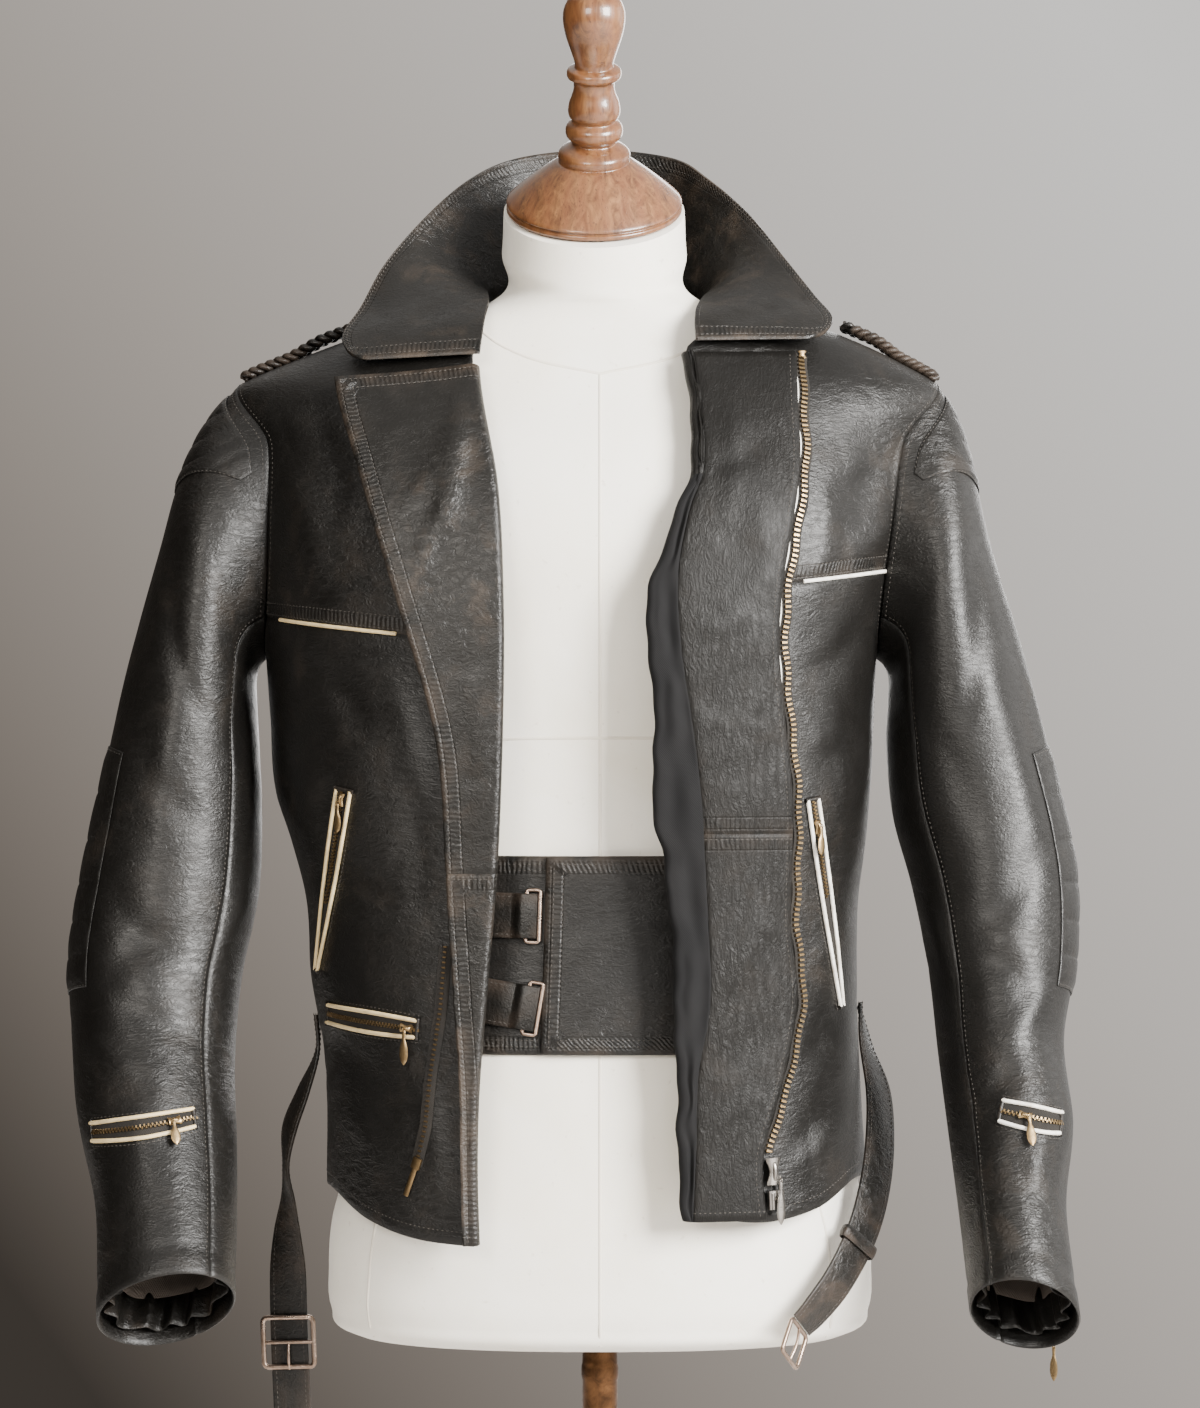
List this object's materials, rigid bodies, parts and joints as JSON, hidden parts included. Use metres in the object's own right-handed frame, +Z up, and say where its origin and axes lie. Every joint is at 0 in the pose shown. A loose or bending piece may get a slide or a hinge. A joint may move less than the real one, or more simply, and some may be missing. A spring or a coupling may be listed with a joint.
{
  "type": "leather motorcycle jacket on a dress form",
  "caption": "Black leather biker jacket, worn open with lapels turned back and collar up, on a linen dress form with a turned wooden cap, pole and round base.",
  "frame": {"origin": "centre of the stand base's underside, on the floor", "axes": "+Z up along the pole, -Y towards the front of the jacket, +X towards the wearer's left"},
  "size_m": [0.6888, 0.3489, 1.6516],
  "materials": {
    "black_leather": "grained, semi-gloss, worn along the edges",
    "black_lining": "matt cotton twill",
    "linen_cover": "matt plain weave",
    "walnut": "turned and varnished",
    "bronze_pole": "bronzed, satin",
    "black_iron": "blackened, satin",
    "cream_piping": "smooth, matt",
    "brass": "aged, dull"
  },
  "bodies": {
    "jacket_on_form": {"back": "black_leather", "belt_keeper": "black_leather", "belt_left": "black_leather", "belt_right": "black_leather", "belt_right_buckle": "brass", "collar": "black_leather", "cuff_left_inner": "black_leather", "cuff_left_zip": "brass", "cuff_right_inner": "black_leather", "elbow_patch_left": "black_leather", "elbow_patch_right": "black_leather", "epaulette_left": "black_leather", "epaulette_right": "black_leather", "facing_left_lower": "black_leather", "facing_left_upper": "black_leather", "facing_right_lower": "black_leather", "facing_right_upper": "black_leather", "forearm_left_piping": "cream_piping", "forearm_left_zip": "brass", "forearm_right_piping": "cream_piping", "forearm_right_zip": "brass", "form_cap": "walnut", "form_torso": "linen_cover", "front_left_lower": "black_leather", "front_left_yoke": "black_leather", "front_right_lower": "black_leather", "front_right_yoke": "black_leather", "kidney_belt": "black_leather", "kidney_buckle_lower": "brass", "kidney_buckle_upper": "brass", "kidney_strap_lower": "black_leather", "kidney_strap_upper": "black_leather", "lining_strip_left": "black_lining", "main_zip_left": "brass", "main_zip_right": "brass", "main_zip_slider": "brass", "pocket_left_slant_piping": "cream_piping", "pocket_left_slant_zip": "brass", "pocket_right_hip_piping": "cream_piping", "pocket_right_hip_zip": "brass", "pocket_right_slant_piping": "cream_piping", "pocket_right_slant_zip": "brass", "shoulder_pad_left": "black_leather", "shoulder_pad_right": "black_leather", "sleeve_left_under": "black_leather", "sleeve_left_upper": "black_leather", "sleeve_right_under": "black_leather", "sleeve_right_upper": "black_leather", "stand_base": "black_iron", "stand_pole": "bronze_pole", "yoke_left_piping": "cream_piping", "yoke_right_piping": "cream_piping"},
    "belt_left_buckle": {"belt_left_buckle": "brass"},
    "cuff_left_pull": {"cuff_left_pull": "brass"},
    "forearm_left_pull": {"forearm_left_pull": "brass"},
    "forearm_right_pull": {"forearm_right_pull": "brass"},
    "main_zip_pull": {"main_zip_pull": "brass"},
    "pocket_left_slant_pull": {"pocket_left_slant_pull": "brass"},
    "pocket_right_hip_pull": {"pocket_right_hip_pull": "brass"},
    "pocket_right_slant_pull": {"pocket_right_slant_pull": "brass"}
  },
  "joints": [
    {"name": "belt_left_buckle_hinge", "type": "hinge", "parent": "jacket_on_form", "child": "belt_left_buckle", "pos_m": [0.13151, -0.11439, 0.75758], "axis": [-0.3976, -0.6887, 0.6062], "range_deg": [-15, 70]},
    {"name": "cuff_left_pull_hinge", "type": "hinge", "parent": "jacket_on_form", "child": "cuff_left_pull", "pos_m": [0.29791, -0.12795, 0.74852], "axis": [0.7439, -0.6683, 0], "range_deg": [0, 150]},
    {"name": "forearm_left_pull_hinge", "type": "hinge", "parent": "jacket_on_form", "child": "forearm_left_pull", "pos_m": [0.2792, -0.1501, 0.90206], "axis": [-0.9878, -0.156, 0], "range_deg": [0, 150]},
    {"name": "forearm_right_pull_hinge", "type": "hinge", "parent": "jacket_on_form", "child": "forearm_right_pull", "pos_m": [-0.27765, -0.14943, 0.89882], "axis": [-0.9413, -0.3375, 0], "range_deg": [0, 150]},
    {"name": "main_zip_pull_hinge", "type": "hinge", "parent": "jacket_on_form", "child": "main_zip_pull", "pos_m": [0.11855, -0.13731, 0.85824], "axis": [-0.8888, -0.4582, 0], "range_deg": [0, 150]},
    {"name": "pocket_left_slant_pull_hinge", "type": "hinge", "parent": "jacket_on_form", "child": "pocket_left_slant_pull", "pos_m": [0.14639, -0.11187, 1.08893], "axis": [-0.7533, -0.6577, 0], "range_deg": [0, 150]},
    {"name": "pocket_right_hip_pull_hinge", "type": "hinge", "parent": "jacket_on_form", "child": "pocket_right_hip_pull", "pos_m": [-0.12894, -0.12958, 0.95599], "axis": [-0.8856, 0.4645, 0], "range_deg": [0, 150]},
    {"name": "pocket_right_slant_pull_hinge", "type": "hinge", "parent": "jacket_on_form", "child": "pocket_right_slant_pull", "pos_m": [-0.17377, -0.11139, 1.10392], "axis": [-0.8003, 0.5997, 0], "range_deg": [0, 150]}
  ]
}
